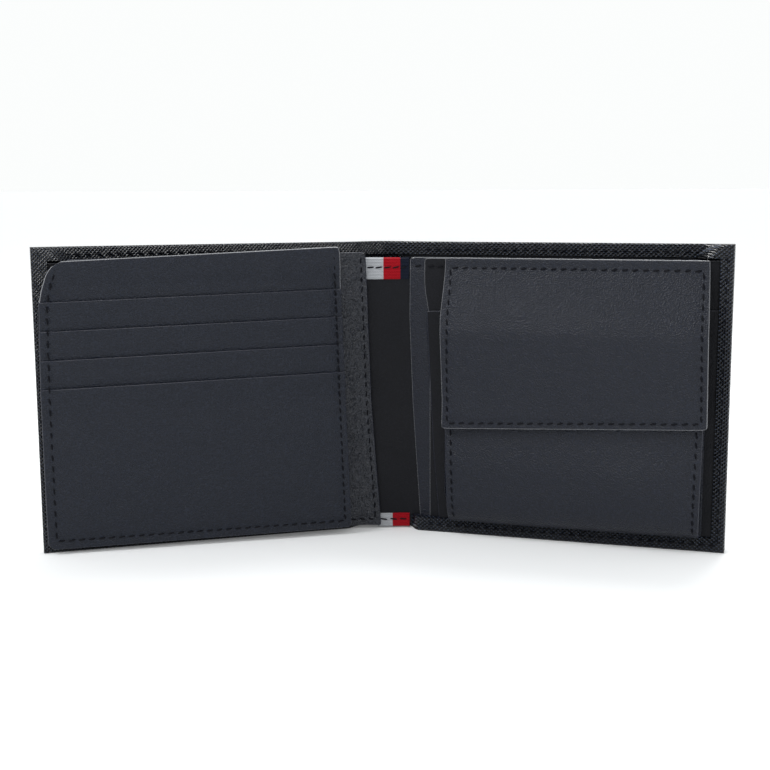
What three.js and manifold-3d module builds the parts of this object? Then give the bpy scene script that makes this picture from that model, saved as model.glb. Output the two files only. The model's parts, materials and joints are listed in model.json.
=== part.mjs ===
// A leather wallet that opens like a book and stands on its long bottom edge.
// Millimetres, +Z up. The inside faces -Y, the spine is at the back, and X runs to the right.
// Every cover is drawn in its own frame: x runs out from the fold, z is up, and a layer's
// depth is counted forward from the inner face of the outer leather.
import * as THREE from 'three';
import { mergeVertices } from 'three/addons/utils/BufferGeometryUtils.js';
import Module from 'manifold-3d';

const wasm = await Module();
wasm.setup();

// Driving dimensions
const HEIGHT = 95;
const COVER = 103.4; // fold line to outer edge
const SPINE = 12; // between the two fold lines
const FOLD_DEPTH = 6; // how far the fold lines lie in front of the outer leather
const REST_ANGLE = THREE.MathUtils.degToRad(17); // each cover, forward of flat
const GAP = 0.3; // between neighbouring pieces
const FOLD_GAP = 0.15; // from a fold line to the nearest layer

// Thicknesses
const SHELL = 1;
const BAND = 0.6;
const BOARD = 0.4;
const CLOTH = 0.25;
const LEAF = 0.5;
const THREAD = 0.22;

// Turned edges
const TOP_BAND = 4.4;
const SIDE_BAND = 4.6;
const FOOT_BAND = 4.8;
const CORNER = 3;
const INNER_TOP = 90.2; // top edge of the pieces inside the outer leather
const INNER_BOTTOM = SHELL + 0.4;
const INNER_END = COVER - SHELL - 0.4;

// Depths of the layers, front of the outer leather = 0
const BOARD_AT = GAP;
const LINING_AT = BOARD_AT + BOARD + GAP;
const NOTE_ROOM = 0.35;
const INNER_AT = LINING_AT + CLOTH + NOTE_ROOM;
const LEFT_BAND_AT = INNER_AT + LEAF + GAP;
const POCKET_AT = LEFT_BAND_AT + BAND + GAP;
const PAGE_AT = POCKET_AT + LEAF + GAP;
const SLIP_AT = INNER_AT + LEAF + GAP;
const CARD_BACK_AT = SLIP_AT + LEAF + GAP;
const CARD_FRONT_AT = CARD_BACK_AT + LEAF + GAP;
const RIGHT_BAND_AT = CARD_FRONT_AT + LEAF + GAP;
const POUCH_AT = RIGHT_BAND_AT;
const POUCH_ROOM = 5.2;
const POUCH_FRONT_AT = POUCH_AT + LEAF + POUCH_ROOM;
const FLAP_LINING_AT = POUCH_FRONT_AT + LEAF + GAP;
const FLAP_LINING = 0.3;
const FLAP_AT = FLAP_LINING_AT + FLAP_LINING + GAP;
const FLAP = 0.6;

// Spine
const SPINE_BULGE = 3.2; // the outer leather of the spine stands this far back
const SPINE_PANEL_AT = 2.6;
const SPINE_PANEL_BOTTOM = 2.2;
const SPINE_PANEL_TOP = 90;
const RIBBON = 0.3;
const RIBBON_WIDTH = 11.4;
const RIBBON_LEG = 7;

// Left side: fixed pocket and hinged card page
const POCKET = { inner: 0.5, outer: COVER - 3.4, bottom: 1.3, top: 91.5 };
const PAGE_HINGE = { in: 0.6, forward: 0.5 }; // axis: in from the outer edge, behind the page
const PAGE_LIFT = THREE.MathUtils.degToRad(2.5); // how far the page stands off the pocket
const PAGE_EDGE = 0.8; // from the hinge axis to the page
const PAGE_WIDTH = 96.6;
const PAGE_BOTTOM = 1.7;
const PAGE_TOP = 90.3;
const PAGE_SLOPES = { bottom: 0.01, top: 0.038 }; // the free edge stands higher than the hinged one
const PAGE_TAPER = { across: 6, down: 12 };
const SLOTS = 4;
const FIRST_SLOT = 78.5;
const SLOT_PITCH = 8.85;
const SLOT_OVERLAP = 3;
const SLOT_LIFT = 1.1; // a leaf's top edge lies this far in front of its foot

// Right side: slip pocket, card pocket and coin pouch
const SLIP_EDGE = { top: 2.2, bottom: 5.6 };
const CARD_EDGE = { top: 7.3, middle: 8.2, bottom: 12.3 };
const CARD_FRONT_TOP = 73;
const FLAP_SPAN = [14.4, 96];
const FLAP_BOTTOM = 36.2;
const FLAP_RISE = 3.2; // its lower edge is higher at the outer end
const POUCH_SPAN = [15.6, 95.2];
const POUCH_TOP = 84;
const POUCH_BOTTOM = FOOT_BAND + 0.4;
const POUCH_CURVE = 14;
const SNAP = { radius: 5, height: 47 };

// Seams
const STITCH_IN = 1.9;
const STITCH_WIDTH = 0.5;

const material = (color, roughness, metalness = 0) =>
  new THREE.MeshStandardMaterial({ color, roughness, metalness });
const grainLeather = material('#20232c', 0.45);
const smoothLeather = material('#30343c', 0.5);
const pageLeather = material('#343841', 0.48);
const liningCloth = material('#17191f', 0.9);
const boardPaper = material('#8d8a82', 0.95);
const ribbonCloth = material('#b92f38', 0.8);
const threadCloth = material('#1d2128', 0.7);
const snapMetal = material('#b9bcc2', 0.3, 1);

const named = (name, geometry, surface) => {
  const mesh = new THREE.Mesh(geometry, surface);
  mesh.name = name;
  return mesh;
};

// An outline from corners [x, z, radius]; a radius rounds that corner.
function outline(corners) {
  const shape = new THREE.Shape();
  corners.forEach(([x, z, radius = 0], i) => {
    const corner = new THREE.Vector2(x, z);
    const before = new THREE.Vector2(...corners.at(i - 1));
    const after = new THREE.Vector2(...corners[(i + 1) % corners.length]);
    const towards = (other) => corner.clone().add(other.clone().sub(corner).setLength(radius));
    const start = radius ? towards(before) : corner;
    const end = radius ? towards(after) : corner;
    if (i === 0) shape.moveTo(start.x, start.y);
    else shape.lineTo(start.x, start.y);
    if (radius) shape.quadraticCurveTo(corner.x, corner.y, end.x, end.y);
  });
  return shape;
}

const rectangle = (x0, x1, z0, z1) => [[x0, z0], [x1, z0], [x1, z1], [x0, z1]];

// A flat layer: the outline is in x and z, and it reaches forward from a depth.
function plate(corners, depth, thickness) {
  const settings = { depth: thickness, bevelEnabled: false, curveSegments: 4 };
  const shape = corners instanceof THREE.Shape ? corners : outline(corners);
  return new THREE.ExtrudeGeometry(shape, settings).rotateX(Math.PI / 2).translate(0, -depth, 0);
}

// A bent layer: the profile is in depth and z, and it runs from x0 to x1.
function bent(profile, x0, x1) {
  const settings = { depth: x1 - x0, bevelEnabled: false, curveSegments: 5 };
  const turn = new THREE.Matrix4().makeBasis(
    new THREE.Vector3(0, -1, 0),
    new THREE.Vector3(0, 0, 1),
    new THREE.Vector3(-1, 0, 0),
  );
  return new THREE.ExtrudeGeometry(profile, settings).applyMatrix4(turn).translate(x1, 0, 0);
}

function solid(geometry) {
  const bare = geometry.clone();
  bare.deleteAttribute('normal');
  bare.deleteAttribute('uv');
  const merged = mergeVertices(bare, 1e-4);
  const mesh = new wasm.Mesh({
    numProp: 3,
    vertProperties: new Float32Array(merged.attributes.position.array),
    triVerts: new Uint32Array(merged.index.array),
  });
  return new wasm.Manifold(mesh);
}

function geometryOf(body) {
  const mesh = body.getMesh();
  const geometry = new THREE.BufferGeometry();
  geometry.setAttribute('position', new THREE.BufferAttribute(mesh.vertProperties, 3));
  geometry.setIndex(new THREE.BufferAttribute(mesh.triVerts, 1));
  return geometry;
}

const cut = (geometry, ...tools) =>
  geometryOf(tools.reduce((body, tool) => body.subtract(solid(tool)), solid(geometry)));

const join = (geometry, ...more) =>
  geometryOf(more.reduce((body, other) => body.add(solid(other)), solid(geometry)));

const disc = (radius, x, z, depth, thickness) =>
  new THREE.CylinderGeometry(radius, radius, thickness, 32).translate(x, -depth - thickness / 2, z);

// The outer leather of one cover: a back sheet whose edges turn forward over the inner layers.
function coverLeather(side, bandAt) {
  const front = bandAt + BAND;
  const body = plate(
    [
      [side * FOLD_GAP, 0],
      [side * COVER, 0, CORNER],
      [side * COVER, HEIGHT, CORNER],
      [side * FOLD_GAP, HEIGHT],
    ],
    -SHELL,
    SHELL + front,
  );
  const beyond = -side * 2;
  const room = plate(
    rectangle(beyond, side * (COVER - SHELL), SHELL, HEIGHT - TOP_BAND),
    0,
    bandAt,
  );
  const window = plate(
    rectangle(beyond, side * (COVER - SIDE_BAND), FOOT_BAND, HEIGHT + 2),
    BAND,
    front,
  );
  return cut(body, room, window);
}

const coverLayer = (side, depth, thickness, inner = FOLD_GAP) =>
  plate(rectangle(side * inner, side * INNER_END, INNER_BOTTOM, INNER_TOP), depth, thickness);

const strip = (x0, x1, z0, z1, surfaceAt) =>
  plate(rectangle(x0, x1, z0, z1), surfaceAt + GAP, THREAD);

// The seam along the right cover's outer and bottom turned edges.
function edgeThread() {
  const x = COVER - SIDE_BAND / 2;
  const z = FOOT_BAND / 2;
  const surface = RIGHT_BAND_AT + BAND;
  const upright = strip(x, x + STITCH_WIDTH, z, HEIGHT - TOP_BAND / 2, surface);
  const foot = strip(1, x + STITCH_WIDTH / 2, z, z + STITCH_WIDTH, surface);
  return join(upright, foot);
}

function topThread(side) {
  const z = HEIGHT - TOP_BAND / 2;
  return strip(side, side * (COVER - SIDE_BAND - 0.5), z, z + STITCH_WIDTH, BAND);
}

function coverParts(side, word, bandAt) {
  return [
    named(`${word}_cover_leather`, coverLeather(side, bandAt), grainLeather),
    named(`${word}_stiffener`, coverLayer(side, BOARD_AT, BOARD, 1), boardPaper),
    named(`${word}_lining`, coverLayer(side, LINING_AT, CLOTH), liningCloth),
    named(`${word}_inner_panel`, coverLayer(side, INNER_AT, LEAF), smoothLeather),
    named(`${word}_top_thread`, topThread(side), threadCloth),
  ];
}

// The spine: a bulged outer leather with a foot, its lining, the inner panel and two ribbons.
function spineParts() {
  const half = SPINE / 2 - FOLD_GAP;
  const back = plate(rectangle(-half, half, 0, HEIGHT), -SPINE_BULGE - SHELL, SHELL);
  const foot = plate(
    rectangle(-half, half, 0, SHELL),
    -SPINE_BULGE - SHELL,
    SPINE_BULGE + SHELL + SPINE_PANEL_AT + LEAF,
  );
  const lining = plate(rectangle(-half, half, INNER_BOTTOM, INNER_TOP), -SPINE_BULGE + GAP, CLOTH);
  const panel = plate(
    rectangle(-half, half, SPINE_PANEL_BOTTOM, SPINE_PANEL_TOP),
    SPINE_PANEL_AT,
    LEAF,
  );
  return [
    named('spine_leather', join(back, foot), grainLeather),
    named('spine_lining', lining, liningCloth),
    named('spine_inner_panel', panel, smoothLeather),
    named('ribbon_top', ribbon(SPINE_PANEL_TOP + GAP + RIBBON, 1), ribbonCloth),
    named('ribbon_bottom', ribbon(SPINE_PANEL_BOTTOM - GAP - RIBBON, -1), ribbonCloth),
  ];
}

// A ribbon folded over an edge of the spine's inner panel; up is 1 at the top edge, -1 below.
function ribbon(fold, up) {
  const back = SPINE_PANEL_AT - GAP - RIBBON;
  const front = SPINE_PANEL_AT + LEAF + GAP + RIBBON;
  const end = fold - up * RIBBON_LEG;
  const inside = fold - up * RIBBON;
  const profile = outline([
    [back, end],
    [back, fold],
    [front, fold],
    [front, end],
    [front - RIBBON, end],
    [front - RIBBON, inside],
    [back + RIBBON, inside],
    [back + RIBBON, end],
  ]);
  return bent(profile, -RIBBON_WIDTH / 2, RIBBON_WIDTH / 2);
}

function leftExtras() {
  const pocket = plate(
    [
      [-POCKET.inner, POCKET.bottom],
      [-POCKET.outer, POCKET.bottom, 2],
      [-POCKET.outer, POCKET.top, 4],
      [-POCKET.inner, POCKET.top],
    ],
    POCKET_AT,
    LEAF,
  );
  const hinge = plate(rectangle(-COVER + 0.8, -POCKET.outer - 0.4, 2, 88), POCKET_AT, LEAF);
  const seam = POCKET.inner + STITCH_IN;
  return [
    named('left_pocket_panel', pocket, smoothLeather),
    named('page_hinge_strip', hinge, smoothLeather),
    named(
      'pocket_thread',
      strip(-seam - STITCH_WIDTH, -seam, POCKET.bottom + 2, POCKET.top - 1, POCKET_AT + LEAF),
      threadCloth,
    ),
  ];
}

// A point of the page, at a distance from its hinge axis; heights are given at the hinged edge.
function onPage(x, height) {
  const share = (height - PAGE_BOTTOM) / (PAGE_TOP - PAGE_BOTTOM);
  const slope = THREE.MathUtils.lerp(PAGE_SLOPES.bottom, PAGE_SLOPES.top, share);
  return [x, height + (x - PAGE_EDGE) * slope];
}

const freeEdge = (height) => PAGE_WIDTH - (height - PAGE_BOTTOM) * PAGE_SLOPES.top;

function pageOutline(top, bottom) {
  const foot = bottom === PAGE_BOTTOM ? 1.5 : 0;
  const corners = [
    [...onPage(PAGE_EDGE, bottom), foot],
    [...onPage(freeEdge(bottom), bottom), foot],
    onPage(freeEdge(top), top),
  ];
  if (top < PAGE_TOP) return [...corners, onPage(PAGE_EDGE, top)];
  const taperStart = onPage(PAGE_EDGE, top - PAGE_TAPER.down);
  return [...corners, [...onPage(PAGE_EDGE + PAGE_TAPER.across, top), 3], [...taperStart, 2]];
}

// A card leaf whose top edge stands forward over the foot of the leaf behind it.
function cardLeaf(number, foot) {
  const top = FIRST_SLOT - number * SLOT_PITCH;
  const last = number === SLOTS - 1;
  const bottom = last ? PAGE_BOTTOM : top - SLOT_PITCH - SLOT_OVERLAP;
  const slope = SLOT_LIFT / (top - bottom);
  const lean = new THREE.Matrix4().set(1, 0, 0, 0, 0, 1, -slope, slope * bottom, 0, 0, 1, 0, 0, 0, 0, 1);
  return plate(pageOutline(top, bottom), foot, LEAF).applyMatrix4(lean);
}

// The page's layers, counted forward from its hinge axis.
function pageParts() {
  const rearAt = PAGE_HINGE.forward;
  const leafAt = rearAt + LEAF + GAP;
  const rear = plate(pageOutline(PAGE_TOP, PAGE_BOTTOM), rearAt, LEAF);
  const backLeaf = plate(pageOutline(PAGE_TOP, FIRST_SLOT - SLOT_OVERLAP), leafAt, LEAF);
  const parts = [
    named('page_rear_panel', rear, pageLeather),
    named('page_back_leaf', backLeaf, pageLeather),
  ];
  for (let number = 0; number < SLOTS; number += 1) {
    parts.push(named(`card_leaf_${number + 1}`, cardLeaf(number, leafAt), pageLeather));
  }
  const front = leafAt + 2 * LEAF + SLOT_LIFT;
  parts.push(named('page_thread', pageThread(front), threadCloth));
  return parts;
}

// The seam round the page's hinged, bottom and free edges, in front of its highest leaf.
function pageThread(surface) {
  const hinged = PAGE_EDGE + STITCH_IN;
  const foot = PAGE_BOTTOM + STITCH_IN;
  const free = (height) => freeEdge(height) - STITCH_IN;
  const outer = [
    onPage(hinged, foot),
    onPage(free(foot), foot),
    onPage(free(FIRST_SLOT), FIRST_SLOT),
    onPage(free(FIRST_SLOT) - STITCH_WIDTH, FIRST_SLOT),
    onPage(free(foot) - STITCH_WIDTH, foot + STITCH_WIDTH),
    onPage(hinged + STITCH_WIDTH, foot + STITCH_WIDTH),
    onPage(hinged + STITCH_WIDTH, FIRST_SLOT),
    onPage(hinged, FIRST_SLOT),
  ];
  return plate(outer, surface, THREAD);
}

// The page's frame: on the left cover, turned a little forward about its hinge axis.
function page() {
  const turned = new THREE.Group();
  turned.position.set(-COVER + PAGE_HINGE.in, -PAGE_AT + PAGE_HINGE.forward, 0);
  turned.rotation.z = -PAGE_LIFT;
  turned.add(...pageParts());
  return turned;
}

// The slip pocket's mouth and the card pocket's edge slant away from the fold towards the bottom.
function rightPockets() {
  const slip = [
    [SLIP_EDGE.bottom, INNER_BOTTOM],
    [INNER_END, INNER_BOTTOM],
    [INNER_END, INNER_TOP],
    [SLIP_EDGE.top, INNER_TOP],
  ];
  const cardBack = [
    [CARD_EDGE.bottom, INNER_BOTTOM],
    [INNER_END, INNER_BOTTOM],
    [INNER_END, INNER_TOP],
    [CARD_EDGE.top, INNER_TOP],
    [CARD_EDGE.top, CARD_FRONT_TOP + 7],
    [CARD_EDGE.middle, CARD_FRONT_TOP],
  ];
  const cardFront = [
    [CARD_EDGE.bottom + 0.3, INNER_BOTTOM],
    [INNER_END, INNER_BOTTOM],
    [INNER_END, CARD_FRONT_TOP],
    [CARD_EDGE.middle + 0.3, CARD_FRONT_TOP],
  ];
  return [
    named('slip_pocket_panel', plate(slip, SLIP_AT, LEAF), smoothLeather),
    named('card_pocket_back', plate(cardBack, CARD_BACK_AT, LEAF), smoothLeather),
    named('card_pocket_front', plate(cardFront, CARD_FRONT_AT, LEAF), smoothLeather),
  ];
}

// The pouch front hangs upright and curves back to its bottom seam.
function pouchFront() {
  const back = POUCH_FRONT_AT;
  const front = POUCH_FRONT_AT + LEAF;
  const heel = POUCH_AT + LEAF + GAP;
  const profile = new THREE.Shape();
  profile.moveTo(back, POUCH_TOP);
  profile.lineTo(back, POUCH_CURVE);
  profile.quadraticCurveTo(back, POUCH_BOTTOM + 3, heel, POUCH_BOTTOM + LEAF);
  profile.lineTo(heel, POUCH_BOTTOM);
  profile.lineTo(heel + LEAF, POUCH_BOTTOM);
  profile.quadraticCurveTo(front, POUCH_BOTTOM + 2.4, front, POUCH_CURVE);
  profile.lineTo(front, POUCH_TOP);
  return bent(profile, ...POUCH_SPAN);
}

function pouchParts() {
  const [inner, outer] = POUCH_SPAN;
  const middle = (inner + outer) / 2;
  const back = plate(rectangle(inner, outer, POUCH_BOTTOM, INNER_TOP - 0.8), POUCH_AT, LEAF);
  const hole = disc(SNAP.radius + GAP, middle, SNAP.height, POUCH_FRONT_AT - 1, LEAF + 2);
  const stud = disc(SNAP.radius, middle, SNAP.height, POUCH_FRONT_AT, LEAF);
  const gusset = (x) =>
    plate(
      rectangle(x, x + LEAF, POUCH_CURVE + 2, POUCH_TOP),
      POUCH_AT + LEAF + GAP,
      POUCH_ROOM - 2 * GAP,
    );
  const seam = (x) =>
    strip(x, x + STITCH_WIDTH, POUCH_CURVE, FLAP_BOTTOM - 0.5, POUCH_FRONT_AT + LEAF);
  return [
    named('coin_pouch_back', back, smoothLeather),
    named('coin_gusset_left', gusset(inner), smoothLeather),
    named('coin_gusset_right', gusset(outer - LEAF), smoothLeather),
    named('coin_pouch_front', cut(pouchFront(), hole), smoothLeather),
    named('snap_stud', stud, snapMetal),
    named('pouch_thread_left', seam(inner + STITCH_IN), threadCloth),
    named('pouch_thread_right', seam(outer - STITCH_IN - STITCH_WIDTH), threadCloth),
  ];
}

// The flap reaches forward over the mouth of the pouch and hangs down its front.
function flapLayer(front, thickness, top, round, hem) {
  const root = POUCH_AT + LEAF + GAP;
  const [inner, outer] = FLAP_SPAN;
  const lowest = FLAP_BOTTOM - 1;
  const layer = bent(
    outline([
      [root, top - thickness],
      [root, top],
      [front, top, round],
      [front, lowest],
      [front - thickness, lowest],
      [front - thickness, top - thickness, round - thickness],
    ]),
    inner,
    outer,
  );
  const below = [
    [inner - 1, lowest - 1],
    [outer + 1, lowest - 1],
    [outer + 1, FLAP_BOTTOM + FLAP_RISE + hem],
    [inner - 1, FLAP_BOTTOM + hem],
  ];
  return cut(layer, plate(below, 0, front + 1));
}

// Four sides of the flap's seam; its lower side follows the slanting edge.
function flapThread() {
  const [inner, outer] = FLAP_SPAN;
  const surface = FLAP_AT + FLAP;
  const foot = FLAP_BOTTOM + STITCH_IN;
  const top = INNER_TOP - 3;
  const ring = (inset) => [
    [inner + STITCH_IN + inset, foot + inset],
    [outer - STITCH_IN - inset, foot + FLAP_RISE + inset],
    [outer - STITCH_IN - inset, top - inset],
    [inner + STITCH_IN + inset, top - inset],
  ];
  return cut(plate(ring(0), surface + GAP, THREAD), plate(ring(STITCH_WIDTH), surface, 1));
}

function flapParts() {
  const middle = (POUCH_SPAN[0] + POUCH_SPAN[1]) / 2;
  const liningFront = FLAP_LINING_AT + FLAP_LINING;
  const liningTop = INNER_TOP - FLAP - GAP;
  const lining = flapLayer(liningFront, FLAP_LINING, liningTop, 1.2, 0.5);
  const hole = disc(SNAP.radius + GAP, middle, SNAP.height, FLAP_LINING_AT - 1, FLAP_LINING + 2);
  const leather = flapLayer(FLAP_AT + FLAP, FLAP, INNER_TOP, 2, 0);
  return [
    named('coin_flap_leather', leather, smoothLeather),
    named('coin_flap_lining', cut(lining, hole), liningCloth),
    named('snap_socket', disc(SNAP.radius, middle, SNAP.height, FLAP_LINING_AT, FLAP_LINING), snapMetal),
    named('flap_thread', flapThread(), threadCloth),
  ];
}

// A cover's frame: turned about its fold line, which stands in front of the outer leather.
function cover(side, parts) {
  const turned = new THREE.Group();
  turned.position.set((side * SPINE) / 2, -FOLD_DEPTH, 0);
  turned.rotation.z = -side * REST_ANGLE;
  const layers = new THREE.Group();
  layers.position.y = FOLD_DEPTH;
  layers.add(...parts);
  turned.add(layers);
  return turned;
}

const wallet = new THREE.Group();
wallet.add(...spineParts());
wallet.add(cover(-1, [...coverParts(-1, 'left', LEFT_BAND_AT), ...leftExtras(), page()]));
wallet.add(
  cover(1, [
    ...coverParts(1, 'right', RIGHT_BAND_AT),
    named('right_edge_thread', edgeThread(), threadCloth),
    ...rightPockets(),
    ...pouchParts(),
    ...flapParts(),
  ]),
);

// The origin is at the middle of the footprint.
wallet.updateMatrixWorld(true);
const middle = new THREE.Box3().setFromObject(wallet, true).getCenter(new THREE.Vector3());
wallet.position.set(-middle.x, -middle.y, 0);

export default wallet;
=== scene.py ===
"""A trifold wallet standing open: its leather, stitching and light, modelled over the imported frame."""
import json
import math

import bpy
import numpy as np
from mathutils import Matrix, Vector


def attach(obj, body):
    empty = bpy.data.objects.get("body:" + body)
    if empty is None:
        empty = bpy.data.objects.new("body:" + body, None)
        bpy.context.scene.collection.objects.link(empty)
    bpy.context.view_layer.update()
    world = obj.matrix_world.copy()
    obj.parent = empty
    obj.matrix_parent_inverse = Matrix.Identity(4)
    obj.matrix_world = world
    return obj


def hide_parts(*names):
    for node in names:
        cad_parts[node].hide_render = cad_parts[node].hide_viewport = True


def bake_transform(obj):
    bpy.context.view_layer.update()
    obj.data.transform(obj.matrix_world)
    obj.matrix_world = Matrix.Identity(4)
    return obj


MM = 0.001
HEIGHT, COVER = 95.0, 103.4  # a cover's height and its width from the fold
FOLD_DEPTH = 6.0  # how far back of its hinge line a cover's outer leather lies
REST = math.radians(17)  # each cover leans this far forward of the spine
PAGE_LIFT = math.radians(2.5)  # the page stands this far out from its cover
BEND_START = 4.0  # the covers are flat beyond this distance from the fold
BEND_SLACK = 1.01  # the bend into the spine is this much longer than a straight line
BEND_PAST = 1.2  # a skin may run on past the spine's middle, to this share of its bend
SIDE_BAND = {-1: 4.9, 1: 4.0}  # width of the leather turned over each cover's end
FOOT_BAND, TOP_BAND = 4.7, 4.3  # and over its foot and top
LIP = {-1: 3.0, 1: 5.4}  # how far forward the turned edge of each cover reaches
TOP_LIP = 0.6  # the same for their top edges
EDGE_ROUND, LIP_ROUND = 0.8, 0.7  # radii of the shell's rim, at its back and at its front
SHELL_BULGE, LINING_BULGE = 3.2, 3.9  # how far the spine's leather and lining bulge back past the covers'
LEAF, SHELL, LINING, BOARD_THICKNESS = 0.5, 1.0, 0.25, 0.4  # thicknesses
STITCH_PITCH, STITCH_LENGTH, STITCH_RADIUS = 3.1, 2.2, 0.27
STITCH_SLANT = math.radians(8)
SEAM_IN = 1.9  # seams run this far in from an edge
PAGE_AT = 1.3  # depth of the page's card leaves, forward of its hinge line
SLOTS = 4
FIRST_SLOT, SLOT_PITCH = 78.5, 8.88  # height of the upper slot's edge, and the step down to each next one
SLOT_OVERLAP = 3.0  # a leaf reaches this far below the edge of the next one
SLOT_TILT, SLOT_LIFT = 2.1, 0.85  # a slot's edge rises this much across the page and stands this far off it
POCKET_SEAM = 87.2  # height of the short seams across the right cover's pockets
FLAP_LEFT, FLAP_TOP = 14.4, 90.2
FLAP_BACK, FLAP_AT = 5.5, 11.9  # depths of the flap's back, at its top and over the pouch
POUCH_LEFT, POUCH_RIGHT, POUCH_TOP, POUCH_FOOT = 15.6, 96.0, 80.0, 4.6
POUCH_BACK, POUCH_AT = 5.4, 10.5  # depths of the pouch front's back, at its foot and above that
SNAP_RADIUS = 5.0
SNAP_CENTRE = ((POUCH_LEFT + POUCH_RIGHT) / 2, 47.0)
STUD = (  # radius and depth, from its foot to its knob
    (0, 9.9), (SNAP_RADIUS, 9.9), (SNAP_RADIUS, 10.3), (4.4, 10.5), (2.2, 10.55), (1.9, 11.15), (0, 11.25)
)
SOCKET = (  # radius and depth, from the hollow that takes the knob to its flat side
    (0, 11.4), (2.3, 11.4), (2.5, 11.28), (4.6, 11.28), (SNAP_RADIUS, 11.45), (SNAP_RADIUS, 11.6), (0, 11.6)
)
BLEND_FROM, BLEND_TO = 1.0, 14.0  # turn() takes its span from these distances from the middle, but bends nothing with it
NAMES = {-1: "left", 1: "right"}

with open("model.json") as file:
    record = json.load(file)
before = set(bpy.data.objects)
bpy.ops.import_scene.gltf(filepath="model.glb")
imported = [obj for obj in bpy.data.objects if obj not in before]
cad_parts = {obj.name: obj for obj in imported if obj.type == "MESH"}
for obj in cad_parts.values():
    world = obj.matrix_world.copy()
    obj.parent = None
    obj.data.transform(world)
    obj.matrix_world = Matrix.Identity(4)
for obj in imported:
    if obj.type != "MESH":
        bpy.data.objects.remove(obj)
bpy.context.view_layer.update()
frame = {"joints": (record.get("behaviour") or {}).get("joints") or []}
joints = {joint["name"]: [value / MM for value in joint["pos_m"]] for joint in frame["joints"]}
FOLD_X, FOLD_Y = joints["right_fold"][:2]
SPINE_Y = FOLD_Y + FOLD_DEPTH
rng = np.random.default_rng(7)


# ---- Places -------------------------------------------------------------------------------------------
def points(x, y, z):
    """Three arrays in millimetres as one array of points in metres."""
    return np.stack(np.broadcast_arrays(x, y, z), -1).astype(float) * MM


def cover(side):
    """Maps u out from a cover's fold, d forward of its outer leather and z up to the row frame."""
    tilt = -side * REST

    def place(u, d, z):
        across, back = side * u, FOLD_DEPTH - d
        x = side * FOLD_X + math.cos(tilt) * across - math.sin(tilt) * back
        y = FOLD_Y + math.sin(tilt) * across + math.cos(tilt) * back
        return points(x, y, z)

    return place


def skin(side, lift):
    """As cover(), but turning smoothly into the spine, where it stands lift further forward. Returns the map
    and the u of the middle of the spine."""
    flat = cover(side)
    start = flat(BEND_START, 0.0, 0.0) / MM
    span = math.hypot(start[0], start[1] - SPINE_Y - lift) * BEND_SLACK

    def place(u, d, z):
        u, d, z = np.broadcast_arrays(u, d, z)
        q = np.clip((BEND_START - u) / span, 0, BEND_PAST)[..., None]
        near = flat(BEND_START + 0 * u, d, z)
        leave = near - flat(BEND_START + span + 0 * u, d, z)
        middle = points(0 * u, SPINE_Y - d - lift, z)
        arrive = points(-side * span + 0 * u, 0 * u, 0 * u)
        curve = (
            near * (2 * q**3 - 3 * q**2 + 1)
            + leave * (q**3 - 2 * q**2 + q)
            + middle * (3 * q**2 - 2 * q**3)
            + arrive * (q**3 - q**2)
        )
        return np.where(q > 0, curve, flat(u, d, z))

    return place, BEND_START - span


def page(r, e, z):
    """Maps r out from the card page's hinge, e forward of it and z up to the row frame."""
    x, y = joints["page_hinge"][:2]
    lean = REST - PAGE_LIFT
    across, forward = (math.cos(lean), math.sin(lean)), (math.sin(lean), -math.cos(lean))
    return points(x + across[0] * r + forward[0] * e, y + across[1] * r + forward[1] * e, z)


def smooth(value, low, high):
    """0 at low, 1 at high, and a smooth step between them."""
    t = np.clip((value - low) / (high - low), 0, 1)
    return t * t * (3 - 2 * t)


def knots(*pairs):
    """A line through (z, value) pairs, from low z to high, as a function of z."""
    heights, values = zip(*pairs)
    return lambda z: np.interp(z, heights, values)


def ripple(amount, length, seed):
    """A gentle unevenness of the leather, as a function of u and z."""
    source = np.random.default_rng(seed)
    waves = [(source.normal(0, 1, 2) * 2 * math.pi / length, source.uniform(0, 6.3)) for _ in range(6)]
    return lambda u, z: amount * sum(np.sin(k[0] * u + k[1] * z + phase) for k, phase in waves) / 3


# ---- Meshes -------------------------------------------------------------------------------------------
def mesh(name, vertices, faces, material):
    """A smooth-shaded object in a material."""
    data = bpy.data.meshes.new(name)
    data.from_pydata(vertices.tolist(), [], faces)
    data.polygons.foreach_set("use_smooth", [True] * len(data.polygons))
    data.materials.append(material)
    obj = bpy.data.objects.new(name, data)
    bpy.context.collection.objects.link(obj)
    return obj


def quads(index):
    """Faces of a grid of vertex numbers."""
    corners = (index[:-1, :-1], index[:-1, 1:], index[1:, 1:], index[1:, :-1])
    return np.stack(corners, -1).reshape(-1, 4)


def outward(vertices, faces):
    """The faces, turned so that they face out of the closed shape they make."""
    a, b, c = (vertices[faces[:, k]] for k in range(3))
    d = vertices[faces[:, 3]]
    volume = np.einsum("ij,ij->i", a, np.cross(b, c) + np.cross(c, d)).sum()
    return faces if volume > 0 else faces[:, ::-1]


def graded(length, cell, rim, square=(False, False)):
    """Places along one side of a leaf, as fractions, closer together where its edges are rounded."""
    near = [] if square[0] else [rim * f for f in (0, 0.07, 0.27, 0.6)]
    far = [] if square[1] else [length - rim * f for f in (0.6, 0.27, 0.07, 0)]
    start, end = (0 if square[0] else rim), (length if square[1] else length - rim)
    middle = np.linspace(start, end, max(3, round((end - start) / cell) + 1))
    return np.array([*near, *middle, *far]) / length


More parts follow.
